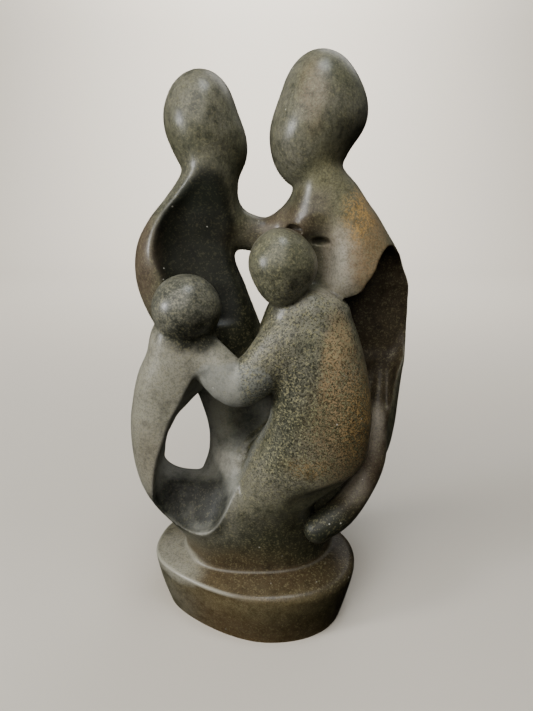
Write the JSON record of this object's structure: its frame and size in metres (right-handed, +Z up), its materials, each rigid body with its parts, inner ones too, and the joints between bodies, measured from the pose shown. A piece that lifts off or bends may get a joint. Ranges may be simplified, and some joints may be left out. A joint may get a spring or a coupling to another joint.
{
  "type": "family group sculpture",
  "caption": "Carved stone family group on a pebble-shaped base: two tall parents with plain egg-shaped heads, joined by an arm, and two children in front with joined arms.",
  "frame": {"origin": "the middle of the base's flat underside, on the surface that the carving stands on", "axes": "+Z up, +Y from the side with the children towards the parents' backs, +X to the right as seen from the children's side"},
  "size_m": [0.1592, 0.0944, 0.3198],
  "materials": {
    "serpentine": "satin hand polish, green-grey with brown patches and fine pale flecks"
  },
  "bodies": {
    "root": {"family_group": "serpentine"}
  },
  "joints": []
}
